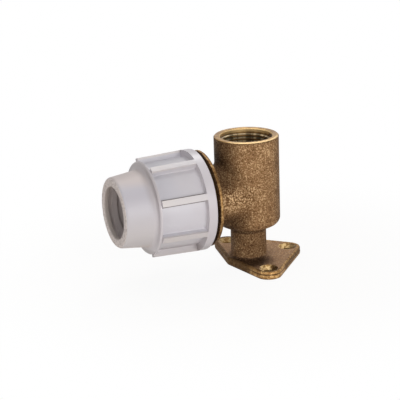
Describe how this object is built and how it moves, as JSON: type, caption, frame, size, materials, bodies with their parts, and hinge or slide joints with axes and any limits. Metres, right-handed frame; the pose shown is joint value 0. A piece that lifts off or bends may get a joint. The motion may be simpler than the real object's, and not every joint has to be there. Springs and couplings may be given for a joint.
{
  "type": "wall plate elbow",
  "caption": "Cast brass elbow on a kite-shaped wall plate with screw holes, with a threaded socket and a pipe joint closed by a ribbed plastic compression nut.",
  "frame": {"origin": "on the axis of the threaded socket, at the face of the plate that lies on the wall", "axes": "+Z away from the wall along the threaded socket, -X along the pipe's axis out of the nut"},
  "size_m": [0.1014, 0.061, 0.067],
  "materials": {
    "cast_brass": "sand cast, with turned bores and faces",
    "grey_plastic": "satin moulded",
    "inner_plastic": "satin moulded",
    "black_rubber": "smooth"
  },
  "bodies": {
    "body": {"elbow_body": "cast_brass", "thrust_ring": "inner_plastic", "o_ring": "black_rubber"},
    "grip": {"grip_ring": "inner_plastic"},
    "nut": {"compression_nut": "grey_plastic"}
  },
  "joints": [
    {"name": "nut_advance", "type": "slide", "parent": "body", "child": "grip", "axis": [-1, 0, 0], "range_m": [-0.0017, 0.0121]},
    {"name": "nut_turn", "type": "hinge", "parent": "grip", "child": "nut", "pos_m": [-0.05, 0, 0.0378], "axis": [-1, 0, 0], "range_deg": [-145, 1080]}
  ],
  "couplings": [
    {"joint": "nut_advance", "follows": "nut_turn", "m_per_rad": 0.00063662}
  ]
}
